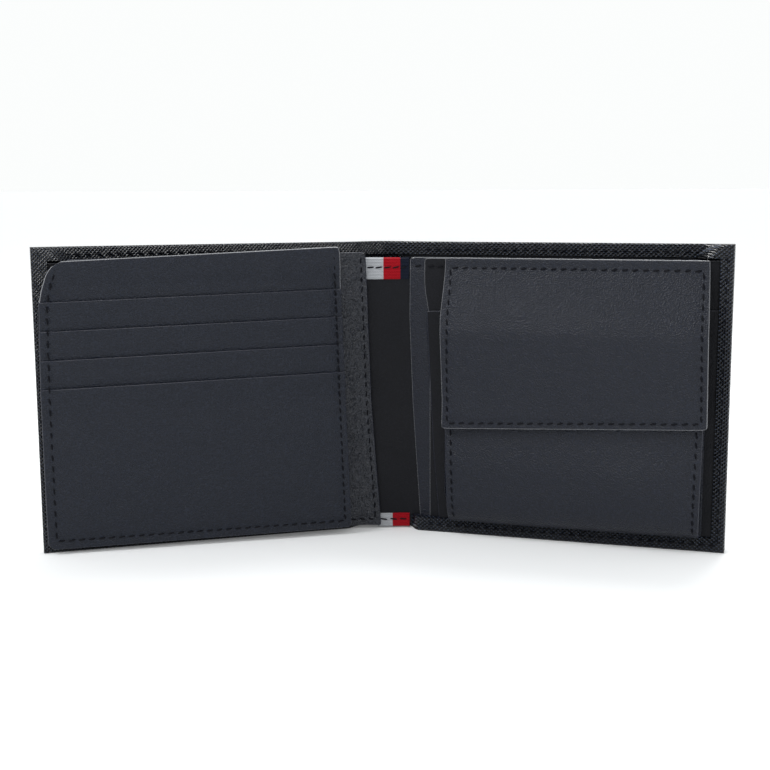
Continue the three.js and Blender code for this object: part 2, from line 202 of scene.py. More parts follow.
def leaf(name, place, sides, depth, thick, material_and_edge_light, corners=(1, 1, 1, 1), cell=1.2, seams=(),
         square=False):
    """A sheet of leather with rounded edges. sides gives its left and right edges as functions of z, and its
    bottom and top edges as (left, right) heights. depth is where its back lies, corners its radii, from the
    bottom left round to the top left, and square leaves its left side cut straight where the other half of a
    skin meets it. finish is its material, or that of its faces and that of its cut edges, whose colour there
    is a painted highlight or painted shade."""
    left, right, bottom, top = sides
    middle = (bottom[0] + top[0]) / 2
    width, height = float(right(middle) - left(middle)), float(top[0] - bottom[0])
    rim = 0.75 * thick
    s, t = np.meshgrid(graded(width, cell, rim, (square, False)), graded(height, cell, rim))
    gaps = (s * width, (1 - s) * width, t * height, (1 - t) * height)
    edge = np.minimum.reduce(gaps[1:] if square else gaps)
    z = (1 - t) * (bottom[0] + (bottom[1] - bottom[0]) * s) + t * (top[0] + (top[1] - top[0]) * s)
    u = (1 - s) * left(z) + s * right(z)
    for radius, across, along in zip(corners, (0, 1, 1, 0), (2, 2, 3, 3)):
        if radius:
            x, y = (np.clip(1 - gaps[k] / radius, 0, 1) for k in (across, along))
            u = u + (1, -1)[across] * radius * x * (1 - np.sqrt(1 - y * y / 2))
            z = z + (1, -1)[along - 2] * radius * y * (1 - np.sqrt(1 - x * x / 2))
    half = thick / 2 * np.sqrt(np.clip(1 - (1 - np.minimum(edge / rim, 1)) ** 2, 0, 1))
    centre = depth(u, z) + thick / 2
    front = centre + half - groove(seams, u, z) * (half / (thick / 2))
    index = np.arange(s.size).reshape(s.shape)
    shared = edge <= 0
    back = index.copy()
    back[~shared] = s.size + np.arange((~shared).sum())
    vertices = np.concatenate([place(u, front, z).reshape(-1, 3), place(u, centre - half, z)[~shared]])
    faces = np.concatenate([quads(index), quads(back)[:, ::-1]])
    materials = material_and_edge_light if isinstance(material_and_edge_light, tuple) else (material_and_edge_light,)
    obj = mesh(name, vertices, outward(vertices, faces).tolist(), materials[0])
    # The faces along the cut edges take the second material, whose colour is a painted highlight or painted
    # shade.
    if len(materials) > 1:
        depths = np.concatenate([edge.ravel(), edge[~shared]])
        obj.data.materials.append(materials[1])
        edge_light_faces = (depths[faces].max(1) < 0.65 * rim).astype(np.int32)
        obj.data.polygons.foreach_set("material_index", edge_light_faces)
    return obj


def groove(seams, u, z):
    """How far the stitches pull the leather in at each point."""
    pull = np.zeros(np.shape(u))
    for path in seams:
        for (u0, z0), (u1, z1) in zip(path, path[1:]):
            length = math.hypot(u1 - u0, z1 - z0)
            along = np.clip(((u - u0) * (u1 - u0) + (z - z0) * (z1 - z0)) / length**2, 0, 1)
            gap = np.hypot(u - u0 - along * (u1 - u0), z - z0 - along * (z1 - z0))
            pull = np.maximum(pull, 0.24 * np.exp(-((gap / 0.8) ** 2)))
    return pull


def stitches(name, place, paths, surface, material, length=STITCH_LENGTH):
    """Stitches laid end to end along each path, each one sinking into the leather at both of its ends."""
    centres, turns = [], []
    for path in paths:
        for (u0, z0), (u1, z1) in zip(path, path[1:]):
            count = max(1, round(math.hypot(u1 - u0, z1 - z0) / STITCH_PITCH))
            for step in (np.arange(count) + 0.5) / count:
                centres.append((u0 + (u1 - u0) * step, z0 + (z1 - z0) * step))
                turns.append(math.atan2(z1 - z0, u1 - u0) + STITCH_SLANT + rng.normal(0, 0.04))
    centres, turns = np.array(centres), np.array(turns)[:, None, None]
    k = np.linspace(-1, 1, 9)[None, :, None]
    angle = np.linspace(0, 2 * math.pi, 7)[None, None, :-1]
    radius = STITCH_RADIUS * np.sqrt(1 - 0.97 * k**4)
    along, aside = k * length / 2, radius * np.cos(angle)
    u = centres[:, 0][:, None, None] + along * np.cos(turns) - aside * np.sin(turns)
    z = centres[:, 1][:, None, None] + along * np.sin(turns) + aside * np.cos(turns)
    d = surface(u, z) + 0.08 - 0.32 * k**2 + radius * np.sin(angle)
    vertices = place(u, d, z).reshape(-1, 3)
    index = np.arange(len(vertices)).reshape(len(centres), 9, 6)
    index = np.concatenate([index, index[:, :, :1]], 2)
    faces = [face for one in index for face in quads(one).tolist()]
    caps = [row.tolist() for one in index for row in (one[0, :-1], one[-1, -2::-1])]
    return mesh(name, vertices, faces + caps, material)


def lathe(name, place, centre, profile, material, sides=40):
    """A round piece from (radius, depth) pairs, turned about centre = (u, z)."""
    angle = np.linspace(0, 2 * math.pi, sides + 1)[None, :-1]
    radius, depth = (np.array(column)[:, None] for column in zip(*profile))
    across, up = radius * np.cos(angle), radius * np.sin(angle)
    vertices = place(centre[0] + across, depth + 0 * angle, centre[1] + up)
    index = np.arange(vertices.shape[0] * sides).reshape(-1, sides)
    index = np.concatenate([index, index[:, :1]], 1)
    return mesh(name, vertices.reshape(-1, 3), quads(index).tolist(), material)


# ---- Materials ----------------------------------------------------------------------------------------
def nodes_of(name, colour, rough, specular=0.5, metal=0.0):
    """A new material, its node tree, its shader and the object's own coordinates."""
    material = bpy.data.materials.new(name)
    material.use_nodes = True
    tree = material.node_tree
    shader = tree.nodes["Principled BSDF"]
    shader.inputs["Base Color"].default_value = (*colour, 1)
    shader.inputs["Roughness"].default_value = rough
    shader.inputs["Specular IOR Level"].default_value = specular
    shader.inputs["Metallic"].default_value = metal
    where = tree.nodes.new("ShaderNodeTexCoord").outputs["Object"]
    return material, tree, shader, where


def noise(tree, where, size, detail=3.0, rough=0.55):
    """Noise with features of the given size in millimetres."""
    node = tree.nodes.new("ShaderNodeTexNoise")
    tree.links.new(where, node.inputs["Vector"])
    node.inputs["Scale"].default_value = 1 / (size * MM)
    node.inputs["Detail"].default_value = detail
    node.inputs["Roughness"].default_value = rough
    return node.outputs["Fac"]


def maths(tree, operation, first, second=None):
    """One step of arithmetic on numbers or sockets."""
    node = tree.nodes.new("ShaderNodeMath")
    node.operation = operation
    for socket, value in zip(node.inputs, (first, second)):
        if isinstance(value, (int, float)):
            socket.default_value = value
        elif value is not None:
            tree.links.new(value, socket)
    return node.outputs[0]


def bump(tree, shader, height, distance, under=None):
    """Raises the surface by a height from 0 to 1 times a distance in millimetres, over what lies under it."""
    node = tree.nodes.new("ShaderNodeBump")
    node.inputs["Distance"].default_value = distance * MM
    tree.links.new(height, node.inputs["Height"])
    if under is not None:
        tree.links.new(under, node.inputs["Normal"])
    tree.links.new(node.outputs["Normal"], shader.inputs["Normal"])
    return node.outputs["Normal"]


def ramp(tree, factor, start, end, low, high):
    """Takes a factor's way from start to end as one from low to high, and holds it there outside them."""
    node = tree.nodes.new("ShaderNodeMapRange")
    for name, value in (("From Min", start), ("From Max", end), ("To Min", low), ("To Max", high)):
        node.inputs[name].default_value = value
    tree.links.new(factor, node.inputs["Value"])
    return node.outputs[0]


def vary(tree, shader, socket, value, factor, low, high):
    """Lets noise move a socket's value between low and high times itself."""
    tree.links.new(ramp(tree, factor, 0.3, 0.7, low * value, high * value), shader.inputs[socket])


def tint(tree, shader, colour, factor, low, high):
    """Lets a factor from 0 to 1 move the colour between low and high times itself."""
    node = tree.nodes.new("ShaderNodeMix")
    node.data_type = "RGBA"
    colours = [socket for socket in node.inputs if socket.type == "RGBA"]
    colours[0].default_value = (*[low * c for c in colour], 1)
    colours[1].default_value = (*[high * c for c in colour], 1)
    tree.links.new(factor, node.inputs[0])
    result = next(socket for socket in node.outputs if socket.type == "RGBA")
    tree.links.new(result, shader.inputs["Base Color"])


def soft_leather(name, colour, rough, specular, grain, grain_depth, crease, crease_depth):
    """Smooth leather with fine pores and, below them, broader creases. Sizes are in millimetres."""
    material, tree, shader, where = nodes_of(name, colour, rough, specular)
    pores = tree.nodes.new("ShaderNodeTexVoronoi")
    pores.inputs["Scale"].default_value = 1 / (grain * MM)
    tree.links.new(where, pores.inputs["Vector"])
    broad = bump(tree, shader, noise(tree, where, crease), crease_depth)
    bump(tree, shader, pores.outputs["Distance"], grain_depth, broad)
    vary(tree, shader, "Roughness", rough, noise(tree, where, 14), 0.85, 1.15)
    tint(tree, shader, colour, pores.outputs["Distance"], 0.5, 1.6)
    return material


def crosshatch_leather(name, colour, rough, specular, pitch, depth):
    """Leather pressed with two sets of fine diagonal lines that cross each other, with painted glints where
    they cross.
    """
    material, tree, shader, where = nodes_of(name, colour, rough, specular)
    wander = noise(tree, where, 3.0)
    lines = []
    for direction in ((1, 0.4, 1), (-1, -0.4, 1)):
        dot = tree.nodes.new("ShaderNodeVectorMath")
        dot.operation = "DOT_PRODUCT"
        tree.links.new(where, dot.inputs[0])
        dot.inputs[1].default_value = [v * 2 * math.pi / (pitch * MM * math.sqrt(2)) for v in direction]
        phase = maths(tree, "ADD", dot.outputs["Value"], maths(tree, "MULTIPLY", wander, 5.0))
        lines.append(maths(tree, "SINE", phase))
    bump(tree, shader, maths(tree, "MAXIMUM", *lines), depth)
    # Painted glints: where the two sets of lines cross, the colour brightens up to tenfold, standing in for
    # light catching the pressed grain.
    crossing_glints = maths(tree, "MAXIMUM", maths(tree, "MULTIPLY", maths(tree, "ADD", *lines), 0.5), 0.0)
    tint(tree, shader, colour, maths(tree, "POWER", crossing_glints, 2.5), 0.6, 10.0)
    vary(tree, shader, "Roughness", rough, wander, 0.85, 1.2)
    return material


def woven(name, colour, rough, pitch, depth):
    """Plain woven cloth."""
    material, tree, shader, where = nodes_of(name, colour, rough, 0.1)
    axes = tree.nodes.new("ShaderNodeSeparateXYZ")
    tree.links.new(where, axes.inputs[0])
    threads = []
    for axis in ("X", "Z"):
        turns = maths(tree, "MULTIPLY", axes.outputs[axis], 2 * math.pi / (pitch * MM))
        threads.append(maths(tree, "SINE", turns))
    weave = maths(tree, "MULTIPLY", *threads)
    bump(tree, shader, weave, depth)
    tint(tree, shader, colour, weave, 0.8, 1.15)
    return material


def plain(name, colour, rough, specular, size, depth, metal=0.0):
    """A material with nothing but a fine unevenness; the edge colours that paint highlight and shade are made
    with it.
    """
    material, tree, shader, where = nodes_of(name, colour, rough, specular, metal)
    uneven = noise(tree, where, size)
    bump(tree, shader, uneven, depth)
    vary(tree, shader, "Roughness", rough, uneven, 0.85, 1.15)
    return material


SHELL_LEATHER = crosshatch_leather("shell_leather", (0.0046, 0.0062, 0.0102), 0.27, 0.42, 0.86, 0.5)
NAPPA = soft_leather("inner_leather", (0.0076, 0.0096, 0.0164), 0.38, 0.26, 0.5, 0.24, 2.4, 0.16)
PAGE_NAPPA = soft_leather("page_leather", (0.0084, 0.0108, 0.0182), 0.38, 0.24, 0.5, 0.22, 2.8, 0.16)
POCKET_NAPPA = soft_leather("pocket_leather", (0.0182, 0.0205, 0.0272), 0.32, 0.36, 0.6, 0.32, 1.6, 0.9)
# A darker copy of the inner leather: the spine's inner panels show it, and on the card pocket's panels it is
# painted shade for the gap beside the pouch.
DARKER_NAPPA_AND_SHADE = soft_leather("darker_leather_and_painted_shade", (0.0047, 0.0052, 0.0075), 0.5, 0.16, 0.45, 0.08, 4.0, 0.1)
# Three copies of one edge colour, lit differently: the brightest paints the highlight on edges that catch the
# light from above, the middle one a fainter painted highlight, the darkest painted shade on edges the light
# misses.
EDGE_HIGHLIGHT = plain("edge_painted_highlight", (0.19, 0.195, 0.21), 0.26, 0.7, 0.4, 0.03)
EDGE_FAINT_HIGHLIGHT = plain("edge_painted_faint_highlight", (0.1, 0.104, 0.115), 0.26, 0.7, 0.4, 0.03)
EDGE_SHADE = plain("edge_painted_shade", (0.009, 0.011, 0.022), 0.3, 0.45, 0.4, 0.03)
CLOTH = woven("lining_cloth", (0.009, 0.010, 0.013), 0.8, 0.5, 0.06)
THREAD = plain("thread", (0.0012, 0.0015, 0.004), 0.6, 0.15, 0.25, 0.04)
BOARD = plain("board", (0.27, 0.25, 0.22), 0.9, 0.2, 0.8, 0.03)
METAL = plain("snap_metal", (0.55, 0.55, 0.56), 0.28, 0.5, 0.6, 0.01, 1.0)
RIBBON = {
    "white": woven("ribbon_white", (0.4, 0.415, 0.44), 0.7, 0.55, 0.06),
    "red": woven("ribbon_red", (0.34, 0.004, 0.011), 0.65, 0.55, 0.06),
    "navy": woven("ribbon_navy", (0.006, 0.009, 0.02), 0.6, 0.55, 0.06),
}


# ---- Shell --------------------------------------------------------------------------------------------
def shell_rings():
    """The rings of a cover's rim, from the edge of its back round to its front, as (the share of the turned
    band's width, how much is rounded off, a fixed depth, 1 where the depth rises with the lip)."""
    rings = []
    for angle in np.linspace(0, math.pi / 2, 6)[1:]:
        turned = EDGE_ROUND * (1 - math.sin(angle))
        rings.append((0, turned, -SHELL + EDGE_ROUND * (1 - math.cos(angle)), 0))
    for angle in np.linspace(0, math.pi / 2, 6):
        turned = LIP_ROUND * (1 - math.cos(angle))
        rings.append((0, turned, -LIP_ROUND * (1 - math.sin(angle)), 1))
    for share in (0.3, 0.5, 0.7, 0.9, 0.96):
        rings.append((share, 0, 0, 1))
    rings.append((0.99, 0, -0.12, 1))
    rings.append((1.0, 0, -0.35, 1))
    rings.append((1.0, 0, 0, 0))
    return rings


def around(grid):
    """The values of a grid along a cover's foot, up its end and back along its top."""
    return [grid[0], grid[1:, -1], grid[-1, -2::-1]]


def shell_lip(side, foot, end, top):
    """How far forward the turned edge stands: full along the foot and the end, and low along the top until
    near the end."""
    tall = LIP[side] - TOP_LIP
    rises = [smooth(foot, 0.5, 5.5), 1 + 0 * end, smooth(top, COVER - 9, COVER - 2.5)]
    return TOP_LIP + tall * np.concatenate(rises)


def shell_half(side):
    """Half of the outer leather: one cover with its turned edges, and the spine as far as its middle."""
    place, middle = skin(side, -SHELL_BULGE)
    columns = np.concatenate([np.linspace(middle, 12, 30)[:-1], np.linspace(12, COVER, 70)])
    s, t = np.meshgrid(columns, np.linspace(0, HEIGHT, 74))
    wave = ripple(0.07, 46, 3 + side)

    def layer(u, z, share, turned, depth):
        """Points at a depth, moved in by a share of the turned band's width and by what is rounded off."""
        end = share * SIDE_BAND[side] + turned
        foot, top = share * FOOT_BAND + turned, share * TOP_BAND + turned
        u = middle + (u - middle) * (COVER - end - middle) / (COVER - middle)
        z = foot + z * (HEIGHT - foot - top) / HEIGHT
        return place(u, wave(u, z) + depth, z)

    lip = shell_lip(side, *around(s))
    rim_u, rim_z = np.concatenate(around(s)), np.concatenate(around(t))
    index = np.arange(s.size).reshape(s.shape)
    parts, faces = [layer(s, t, 0, EDGE_ROUND, -SHELL).reshape(-1, 3)], [quads(index)[:, ::-1]]
    previous, total = np.concatenate(around(index)), s.size
    for share, turned, fixed, rises in shell_rings():
        current = total + np.arange(len(rim_u))
        parts.append(layer(rim_u, rim_z, share, turned, fixed + rises * lip))
        faces.append(quads(np.stack([previous, current])))
        previous, total = current, total + len(rim_u)
    inside = np.zeros(s.shape, bool)
    inside[1:-1, :-1] = True
    front = np.zeros(s.shape, int)
    front[inside] = total + np.arange(inside.sum())
    front[0], front[1:, -1], front[-1, -2::-1] = np.split(previous, [s.shape[1], s.shape[1] + s.shape[0] - 1])
    parts.append(layer(s, t, 1, 0, 0)[inside])
    faces.append(quads(front))
    vertices = np.concatenate(parts)
    faces = outward(vertices - vertices.mean(0), np.concatenate(faces))
    return mesh(f"shell_{NAMES[side]}", vertices, faces.tolist(), SHELL_LEATHER)


def turn(obj, side):
    """Bakes a piece's placement into its mesh. It works out the span between the spine and one cover where
    the piece would bend, but does not bend it.
    """
    start, end = ((side * distance * MM, 0, 0) for distance in (BLEND_FROM, BLEND_TO))
    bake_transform(obj)
    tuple(start)
    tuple(end)


def level(value):
    """A straight edge at u = value, as a function of z."""
    return lambda z: value + 0 * z


def moved(edge, amount):
    """An edge that lies the given amount further out than another."""
    return lambda z: edge(z) + amount


def at(value):
    """A flat layer's depth."""
    return lambda u, z: value + 0 * u


def raised(depth, amount):
    """A depth that lies the given amount forward of another."""
    return lambda u, z: depth(u, z) + amount


def board(side):
    """The board that stiffens a cover."""
    name = NAMES[side]
    sides = (level(5), level(98.5), (6, 6), (86, 86))
    piece = leaf(f"board_{name}", cover(side), sides, at(0.3), BOARD_THICKNESS, BOARD, cell=6)
    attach(piece, f"{name}_cover")


def lining(side):
    """The lining cloth of a cover and of half the spine."""
    place, middle = skin(side, -LINING_BULGE)

    def depth(u, z):
        near_top = smooth(z, 86.2, 90.4)
        return 1.0 - 0.9 * near_top - 0.2 * (1 - smooth(u, -2, 4)) * near_top

    name = NAMES[side]
    sides = (level(middle), level(COVER - SIDE_BAND[side]), (FOOT_BAND, FOOT_BAND), (91, 91))
    piece = leaf(f"lining_{name}", place, sides, depth, LINING, CLOTH, cell=1.6)
    turn(piece, side)


def inner_panel(side):
    """The leather that the inside of a cover and of half the spine shows behind its pockets."""
    place, middle = skin(side, 1.0)
    wave = ripple(0.12, 40, 11 + side)

    def depth(u, z):
        return 1.6 + wave(u, z) * smooth(u, middle + 1, 10)

    sides = (level(middle), level(COVER - SIDE_BAND[side] + 0.4), (1.3, 2.2), (89.2, 90.2))
    piece = leaf(f"inner_panel_{NAMES[side]}", place, sides, depth, LEAF, (DARKER_NAPPA_AND_SHADE, EDGE_SHADE),
                 (0, 0, 0, 0), square=True)
    turn(piece, side)


def top_seam(side):
    """The seam that holds down the leather turned over a cover's top edge."""
    name = NAMES[side]
    path = [[(6, HEIGHT - 2.4), (COVER - 3, HEIGHT - 2.4)]]
    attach(stitches(f"stitches_top_{name}", cover(side), path, at(TOP_LIP), THREAD), f"{name}_cover")


def edge_seam():
    """The seam along the right cover's turned end and foot."""
    middle = COVER - SIDE_BAND[1] / 2
    path = [[(8, FOOT_BAND / 2), (middle, FOOT_BAND / 2), (middle, HEIGHT - 3)]]
    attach(stitches("stitches_edge_right", cover(1), path, at(LIP[1]), THREAD), "right_cover")


# ---- Left cover ---------------------------------------------------------------------------------------
def left_pocket():
    """The pocket behind the page, whose free edge stands past the fold."""
    place = skin(-1, 0.4)[0]
    free = knots((1, -6.9), (43, -3.5), (91.8, -1.6))
    outer = knots((1, 98.5), (78, 97), (91.5, 93))
    seam = [(5.4, 3.3)] + [(free(z) + SEAM_IN, z) for z in np.linspace(3.3, 90.6, 8)]
    wave = ripple(0.28, 14, 5)

    def depth(u, z):
        shown = smooth(u, -2, 1) * (1 - smooth(u, 3.5, 5.8))
        return 3.3 + np.abs(wave(u, z)) * shown + 0.25 * (1 - smooth(u, -4, 1))

    sides = (free, outer, (1.2, 1.5), (91.7, 91.2))
    pocket = leaf("left_pocket", place, sides, depth, LEAF, (POCKET_NAPPA, EDGE_SHADE),
                  (0.6, 1, 1, 1.6), 1.1, [seam])
    turn(pocket, -1)
    turn(stitches("stitches_pocket", place, [seam], raised(depth, LEAF - 0.1), THREAD), -1)


def hinge_strip():
    """The strip that the page is sewn to."""
    sides = (level(COVER - 4.2), level(COVER - 1.3), (2, 2), (77, 77))
    strip = leaf("hinge_strip", cover(-1), sides, at(3.05), 0.4, NAPPA)
    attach(strip, "left_cover")


# ---- Page ---------------------------------------------------------------------------------------------
PAGE_FREE = knots((2, 97.0), (48, 95.3), (93, 93.8))
PAGE_OUTER = knots(
    (2, 1.1), (22, 0.9), (52, 0.78), (78, 1.2), (82, 2.0), (86.7, 3.5), (89.3, 5.2), (90.8, 6.8)
)


def page_surface(foot, height, lift):
    """The depth of a page leaf's back: it rises from its foot to its upper edge, less so along the page's
    seams."""
    wave = ripple(0.06, 38, 21)

    def depth(r, z):
        rise = np.clip((z - foot - SLOT_TILT * r / 95) / height, 0, 1)
        held = smooth(r - PAGE_OUTER(z), 2, 5) * smooth(PAGE_FREE(z) - r, 2, 5)
        return PAGE_AT + wave(r, z) + lift * rise * (0.72 + 0.28 * held)

    return depth


def page_seams():
    """The page's seam: down its outer side, along its foot and up its free side, open at the top."""
    heights = np.linspace(4.3, 78, 8)
    outer = [(PAGE_OUTER(z) + 2.4, z) for z in heights] + [(5.3, 85), (7.5, 89.6)]
    free = [(PAGE_FREE(z) - SEAM_IN, z) for z in np.linspace(4.6, 91.5, 9)]
    return [outer[::-1] + free]


def page_back():
    """The page's rear panel, out of sight while the page lies against its cover."""
    sides = (PAGE_OUTER, PAGE_FREE, (1.7, 2.4), (90.0, 92.9))
    corners = (3, 2, 1.2, 1.5)
    return leaf("page_rear", page, sides, at(0.5), LEAF, (NAPPA, EDGE_SHADE), corners)


def page_leaf_0(seams):
    """The leaf behind the card slots. Its upper edge rolls back."""
    foot = FIRST_SLOT - SLOT_OVERLAP
    sides = (PAGE_OUTER, PAGE_FREE, (foot, foot + SLOT_TILT), (90.8, 93.9))
    rise = page_surface(FIRST_SLOT + 0.6, 12, 0.2)

    def depth(r, z):
        return rise(r, z) + 0.85 * np.sin(np.pi * np.clip((z - 83.5) / 11, 0, 1))

    return leaf("page_leaf_0", page, sides, depth, LEAF, (PAGE_NAPPA, EDGE_HIGHLIGHT),
                (0.4, 0.4, 1.2, 2.0), 1.1, seams)


def slot_leaf(slot, seams):
    """The leaf in front of one card slot, counted down from the upper one. The last reaches the foot."""
    last = slot == SLOTS - 1
    top = FIRST_SLOT - slot * SLOT_PITCH
    foot = 1.6 if last else top - SLOT_PITCH - SLOT_OVERLAP
    tilt = 0.8 if last else SLOT_TILT
    step = 0.06 * (slot + 1)
    outer, free = moved(PAGE_OUTER, -step), moved(PAGE_FREE, step / 2)
    surface = page_surface(top - SLOT_PITCH + 0.6, SLOT_PITCH - 0.6, SLOT_LIFT)
    corners = (2.6, 1.4, 0.3, 0.3) if last else (0.3, 0.3, 0.3, 0.3)
    sides = (outer, free, (foot, foot + tilt), (top, top + SLOT_TILT))
    return leaf(f"page_leaf_{slot + 1}", page, sides, surface, LEAF, (PAGE_NAPPA, EDGE_SHADE),
                corners, 1.1, seams)


def page_face(_, z):
    """The depth of the page's seam: it stands forward where the card slots lift the leaves."""
    slots = np.clip((z - 42) / 12, 0, 1) * (z < 91)
    return PAGE_AT + LEAF + 0.72 * SLOT_LIFT * slots - 0.12


def card_page():
    """The page with its four card slots."""
    seams = page_seams()
    pieces = [page_back(), page_leaf_0(seams)]
    pieces += [slot_leaf(slot, seams) for slot in range(SLOTS)]
    pieces.append(stitches("stitches_page", page, seams, page_face, THREAD))
    for piece in pieces:
        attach(piece, "card_page")


# ---- Right cover --------------------------------------------------------------------------------------
SLIP_EDGE = knots((4, 5.3), (43, 2.8), (70, 1.8), (90, 2.0))
CARD_BACK_EDGE = knots((70, 8.8), (74, 8.1), (78.6, 7.3), (82, 7.0), (90, 7.0))
CARD_FRONT_EDGE = knots((4, 12.2), (27, 10.3), (44, 9.4), (73, 8.0))


def pocket_depth(back):
    """The depth of a pocket panel's back, which swells forward near its mouth."""
    wave = ripple(0.1, 30, 31)

    def depth(u, z):
        swell = 0.25 * (1 - smooth(u, 1, 14)) * smooth(z, 5, 30)
        return back + 0.1 * np.abs(wave(u, z)) + swell

    return depth


def right_pockets():
    """The slip pocket and the two panels of the card pocket, which lie under the coin pouch."""
    end, low = level(COVER - SIDE_BAND[1] + 0.3), (2.6, 2.6)
    slip_seam_end = CARD_BACK_EDGE(POCKET_SEAM) - 0.2
    layers = (
        # The card pocket's panels use the darker leather, which paints the shade in the gap beside the pouch;
        # the rear panel's edge has a faint painted highlight, the front panel's edge painted shade.
        ("slip_pocket", SLIP_EDGE, (90.1, 90.1), 2.4, 1.2, (NAPPA, EDGE_FAINT_HIGHLIGHT), slip_seam_end),
        ("card_pocket_rear", CARD_BACK_EDGE, (89.9, 90.1), 3.2, 1.4, (DARKER_NAPPA_AND_SHADE, EDGE_FAINT_HIGHLIGHT), FLAP_LEFT - 0.6),
        ("card_pocket_face", CARD_FRONT_EDGE, (72.9, 75.2), 4.0, 0.8, (DARKER_NAPPA_AND_SHADE, EDGE_SHADE), None),
    )
    for name, edge, top, back, corner, material_and_edge_light, seam_end in layers:
        start = edge(POCKET_SEAM)
        seams = [[(start + 0.6, POCKET_SEAM), (FLAP_LEFT, POCKET_SEAM)]] if seam_end else []
        piece = leaf(name, cover(1), (edge, end, low, top), pocket_depth(back), LEAF, material_and_edge_light,
                     (0, 0, 0, corner), 1.2, seams)
        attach(piece, "right_cover")
        if seam_end:
            path = [[(start + 0.7, POCKET_SEAM), (seam_end, POCKET_SEAM)]]
            thread = stitches(f"stitches_{name}", cover(1), path, at(back + LEAF + 0.1), THREAD)
            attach(thread, "right_cover")


def pouch_depth(u, z):
    """Where the back of the pouch's front lies. It swells out below the flap, and curves in to its foot and
    its mouth."""
    across = np.clip((u - POUCH_LEFT) / (POUCH_RIGHT - POUCH_LEFT), 0, 1)
    belly = 0.35 * np.sin(np.pi * across) - 0.9 * smooth(z, 22, 37)
    fullness = 0.75 * np.exp(-(((u - 76) / 13) ** 2) - ((z - 20) / 9) ** 2)
    foot = np.clip(1 - (z - POUCH_FOOT) / 10, 0, 1)
    dent = 0.3 * (1 - smooth(np.hypot(u - SNAP_CENTRE[0], z - SNAP_CENTRE[1]), SNAP_RADIUS, 12))
    mouth = 3.2 * smooth(z, 60, 81)
    return POUCH_BACK + (POUCH_AT - POUCH_BACK) * np.sqrt(1 - foot**2.4) + belly + fullness - dent - mouth


def pouch_front():
    """The front of the coin pouch and the seams down its sides."""
    left, right = knots((5, 16.5), (36, 15.5), (84, 15.2)), knots((5, 95.7), (36, 96.2), (84, 96.3))
    heights = (6, 20, 36, 60, 83)
    seams = [[(left(z) + SEAM_IN, z) for z in heights], [(right(z) - SEAM_IN, z) for z in heights]]
    sides = (left, right, (POUCH_FOOT, POUCH_FOOT), (POUCH_TOP, POUCH_TOP))
    front = leaf("pouch_front", cover(1), sides, pouch_depth, LEAF, (NAPPA, EDGE_SHADE),
                 (0.5, 0.5, 1, 1), 1.1, seams)
    return front, stitches("stitches_pouch", cover(1), seams, raised(pouch_depth, LEAF - 0.1), THREAD)


def gusset(name, edge, inward):
    """One side of the pouch, folded in half way between its back at u = edge and its front."""
    flat = cover(1)

    def place(depth, aside, z):
        fold = 2.2 * np.sin(np.pi * np.clip((depth - 5.3) / 5.1, 0, 1)) * smooth(z, 20, 60)
        return flat(edge + inward * fold + aside, depth, z)

    def front(z):
        return pouch_depth(edge, z) - 0.1

    sides = (level(5.3), front, (10, 14), (POUCH_TOP - 0.3, POUCH_TOP - 0.3))
    return leaf(f"gusset_{name}", place, sides, at(-0.15), 0.35, NAPPA, cell=0.8)


def coin_pouch():
    """The pouch with its gussets and the lower half of its snap."""
    pieces = [*pouch_front()]
    sides = (level(15.4), level(96.4), (POUCH_FOOT, POUCH_FOOT), (89.2, 89.2))
    pieces.append(leaf("pouch_back", cover(1), sides, at(4.8), LEAF, NAPPA))
    pieces += [gusset("left", 15.7, 1), gusset("right", 95.7, -1)]
    pieces.append(lathe("stud", cover(1), SNAP_CENTRE, STUD, METAL))
    for piece in pieces:
        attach(piece, "right_cover")


FLAP_LEFT_EDGE = knots((35, 14.9), (45, 15.1), (72, 14.1), (90, 14.5))
FLAP_RIGHT_EDGE = knots((38, 97.6), (72, 97.1), (90, 96.5))
FLAP_WAVE = ripple(0.1, 34, 41)


def flap_depth(u, z):
    """Where the back of the flap's leather lies: it is sewn down at its top and swells out over the mouth."""
    slope = 1 - smooth(z, 66, 88.5)
    curl = 0.25 * (smooth(u, 92, 97) + 1 - smooth(u, 14, 19)) * smooth(z, 84, 70)
    return FLAP_BACK + (FLAP_AT - FLAP_BACK) * slope + FLAP_WAVE(u, z) * (1 - smooth(z, 80, 88)) - curl


def flap():
    """The coin pouch's flap: leather outside, cloth inside."""
    place = cover(1)
    left, right = FLAP_LEFT_EDGE, FLAP_RIGHT_EDGE
    top, foot_left, foot_right = 87.0, 36.0, 39.5
    seam = [(left(38) + SEAM_IN, foot_left + SEAM_IN), (right(41) - SEAM_IN, foot_right + SEAM_IN),
            (right(top) - SEAM_IN, top), (left(top) + SEAM_IN, top)]
    seams = [seam + seam[:1]]
    sides = (left, right, (foot_left, foot_right + 0.1), (FLAP_TOP, FLAP_TOP))
    leather = leaf("flap_leather", place, sides, flap_depth, 0.6, (NAPPA, EDGE_FAINT_HIGHLIGHT),
                   (1.2, 1.2, 0.6, 0.6), 1.1, seams)
    thread = stitches("stitches_flap", place, seams, raised(flap_depth, 0.5), THREAD)
    sides = (moved(left, 0.4), moved(right, -0.4), (foot_left + 0.5, 40.0), (FLAP_TOP - 0.4, FLAP_TOP - 0.4))
    cloth = leaf("flap_lining", place, sides, raised(flap_depth, -0.3), LINING, CLOTH)
    for piece in (leather, thread, cloth):
        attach(piece, "coin_flap")


def socket():
    """The upper half of the snap, under the flap."""
    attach(lathe("socket", cover(1), SNAP_CENTRE, SOCKET, METAL), "coin_flap")


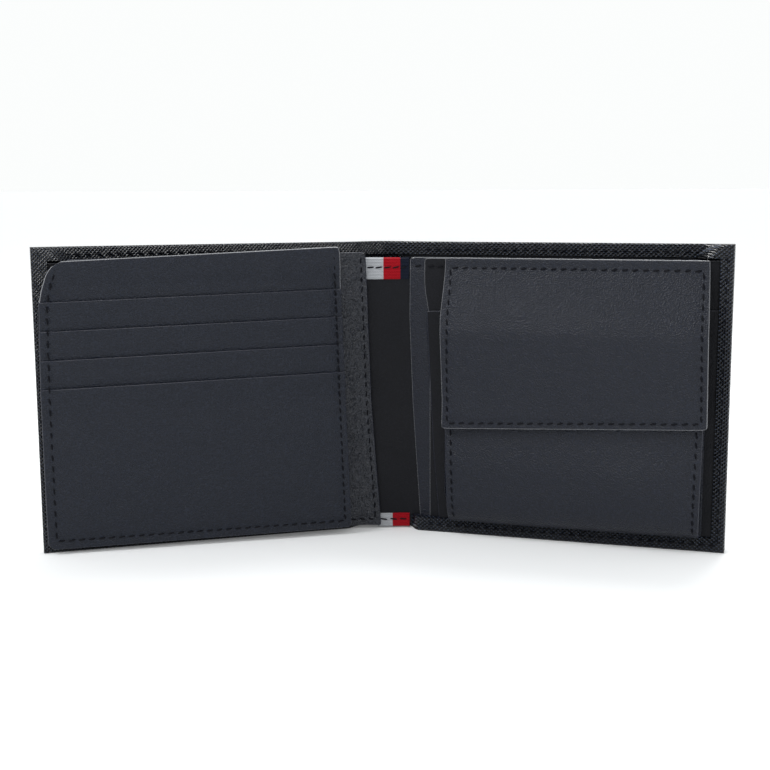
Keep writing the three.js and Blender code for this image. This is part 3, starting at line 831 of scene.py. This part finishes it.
# ---- Ribbons ------------------------------------------------------------------------------------------
def ribbon(name, start, stripes, edge_z, up, seam_z, reach):
    """A striped ribbon folded over the edge of the spine's inner panel, up for the top edge and down for the
    bottom one. It starts at x = start, stripes gives where its white and its red end, and reach is the length
    that hangs on each face."""
    (right, right_middle), (left, left_middle) = skin(1, 1.0), skin(-1, 1.0)
    end, gap = 9.4, 0.75
    arc = gap * math.pi

    def place(x, d, along):
        turned = np.clip(along / arc, 0, 1) * math.pi
        depth = 1.85 + (gap / 2 + 0.12 + d) * np.cos(turned)
        hanging = np.maximum(-along, 0) + np.maximum(along - arc, 0)
        z = edge_z + up * ((gap / 2 + d) * np.sin(turned) - hanging)
        on_right = (x > 0)[..., None]
        return np.where(on_right, right(x + right_middle, depth, z), left(-x + left_middle, depth, z))

    def ribs(_, along):
        return 0.08 * np.sin(along * 2 * math.pi)

    sides = (level(start), level(end), (-reach, -reach), (arc + reach, arc + reach))
    piece = leaf(name, place, sides, ribs, 0.2, RIBBON["white"], (0, 0, 0, 0), 0.24)
    for colour in ("red", "navy"):
        piece.data.materials.append(RIBBON[colour])
    middles = np.array([polygon.center.x for polygon in piece.data.polygons]) / MM
    piece.data.polygons.foreach_set("material_index", np.searchsorted(stripes, middles).astype(np.int32))
    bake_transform(piece)
    seam = [[(start + 0.4, -(edge_z - seam_z) * up), (8.8, -(edge_z - seam_z) * up)]]
    thread = stitches(f"stitches_{name}", place, seam, at(0.14), THREAD, 3.3)
    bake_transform(thread)


# ---- The scene ----------------------------------------------------------------------------------------
for side in (-1, 1):
    turn(shell_half(side), side)
    board(side)
    lining(side)
    inner_panel(side)
    top_seam(side)
edge_seam()
left_pocket()
hinge_strip()
card_page()
right_pockets()
coin_pouch()
socket()
flap()
ribbon("ribbon_upper", -6.2, (0.2, 5.6), 89.3, 1, 86.7, 6.4)
ribbon("ribbon_lower", -2.2, (2.8, 8.5), 1.0, -1, 3.0, 4.1)
STANDS_FOR = {
    "shell_left": ("left_cover_leather",),
    "shell_right": ("right_cover_leather", "spine_leather"),
    "board_left": ("left_stiffener",),
    "board_right": ("right_stiffener",),
    "lining_left": ("left_lining",),
    "lining_right": ("right_lining", "spine_lining"),
    "inner_panel_left": ("left_inner_panel",),
    "inner_panel_right": ("right_inner_panel", "spine_inner_panel"),
    "stitches_top_left": ("left_top_thread",),
    "stitches_top_right": ("right_top_thread",),
    "stitches_edge_right": ("right_edge_thread",),
    "left_pocket": ("left_pocket_panel",),
    "hinge_strip": ("page_hinge_strip",),
    "stitches_pocket": ("pocket_thread",),
    "page_rear": ("page_rear_panel",),
    "page_leaf_0": ("page_back_leaf",),
    "page_leaf_1": ("card_leaf_1",),
    "page_leaf_2": ("card_leaf_2",),
    "page_leaf_3": ("card_leaf_3",),
    "page_leaf_4": ("card_leaf_4",),
    "stitches_page": ("page_thread",),
    "slip_pocket": ("slip_pocket_panel",),
    "card_pocket_rear": ("card_pocket_back",),
    "card_pocket_face": ("card_pocket_front",),
    "pouch_back": ("coin_pouch_back",),
    "gusset_left": ("coin_gusset_left",),
    "gusset_right": ("coin_gusset_right",),
    "pouch_front": ("coin_pouch_front",),
    "stud": ("snap_stud",),
    "stitches_pouch": ("pouch_thread_left", "pouch_thread_right"),
    "flap_leather": ("coin_flap_leather",),
    "flap_lining": ("coin_flap_lining",),
    "socket": ("snap_socket",),
    "stitches_flap": ("flap_thread",),
    "ribbon_upper": ("ribbon_top",),
    "ribbon_lower": ("ribbon_bottom",),
}
for piece, hidden in STANDS_FOR.items():
    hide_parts(*hidden)


def surround():
    """An even bright surround, darker on the camera's side."""
    world = bpy.data.worlds.new("studio")
    bpy.context.scene.world = world
    world.use_nodes = True
    tree = world.node_tree
    background = tree.nodes["Background"]
    background.inputs["Color"].default_value = (0.97, 0.985, 0.98, 1)
    towards = tree.nodes.new("ShaderNodeVectorMath")
    towards.operation = "DOT_PRODUCT"
    towards.inputs[1].default_value = (0, -0.95, -0.3)
    tree.links.new(tree.nodes.new("ShaderNodeTexCoord").outputs["Generated"], towards.inputs[0])
    tree.links.new(ramp(tree, towards.outputs["Value"], 0.0, 0.8, 1.0, 0.3), background.inputs["Strength"])


def floor():
    """A pale floor that shines a little more further back."""
    material, tree, shader, where = nodes_of("floor", (0.735, 0.745, 0.755), 0.6, 0.1)
    vary(tree, shader, "Roughness", 0.6, noise(tree, where, 300), 0.95, 1.05)
    shader.inputs["Emission Color"].default_value = (0.965, 0.975, 0.98, 1)
    axes = tree.nodes.new("ShaderNodeSeparateXYZ")
    tree.links.new(where, axes.inputs[0])
    glow = ramp(tree, axes.outputs["Y"], 0.1, 1.6, 0.12, 0.33)
    tree.links.new(glow, shader.inputs["Emission Strength"])
    data = bpy.data.meshes.new("floor")
    data.from_pydata([(-30, -3, 0), (30, -3, 0), (30, 60, 0), (-30, 60, 0)], [], [(0, 1, 2, 3)])
    data.materials.append(material)
    obj = bpy.data.objects.new("floor", data)
    bpy.context.collection.objects.link(obj)


def lamps():
    """Three large soft lamps: from the left, from above and behind, and from the front."""
    for name, place, aim, size, power in (
        ("key", (-0.6, -0.25, 0.8), (0, 0, 0.05), 0.35, 5.0),
        ("top", (0.2, 0.5, 0.85), (0, 0, 0.05), 0.45, 6.5),
        ("front", (0.15, -0.95, 0.72), (0.03, 0, 0.07), 0.4, 3.0),
    ):
        lamp = bpy.data.lights.new(name, "AREA")
        lamp.size, lamp.energy = size, power
        obj = bpy.data.objects.new(name, lamp)
        bpy.context.collection.objects.link(obj)
        obj.location = place
        obj.rotation_euler = (Vector(aim) - Vector(place)).to_track_quat("-Z", "Y").to_euler()


def camera():
    """Seen from a little above, straight on to the spine."""
    pitch, yaw, roll = math.radians(8.711), math.radians(-0.314), math.radians(-0.267)
    ahead = Vector((math.sin(yaw) * math.cos(pitch), math.cos(yaw) * math.cos(pitch), -math.sin(pitch)))
    level_right = Vector((math.cos(yaw), -math.sin(yaw), 0))
    level_up = level_right.cross(ahead)
    right = math.cos(roll) * level_right + math.sin(roll) * level_up
    up = math.cos(roll) * level_up - math.sin(roll) * level_right
    data = bpy.data.cameras.new("camera")
    data.lens, data.sensor_width = 60.19, 36.0
    obj = bpy.data.objects.new("camera", data)
    bpy.context.collection.objects.link(obj)
    rotation = Matrix((right, up, -ahead)).transposed().to_4x4()
    obj.matrix_world = Matrix.Translation(Vector((2.80, -403.11, 112.22)) * MM) @ rotation
    bpy.context.scene.camera = obj


surround()
floor()
lamps()
camera()
bpy.context.scene.view_settings.view_transform = "Standard"
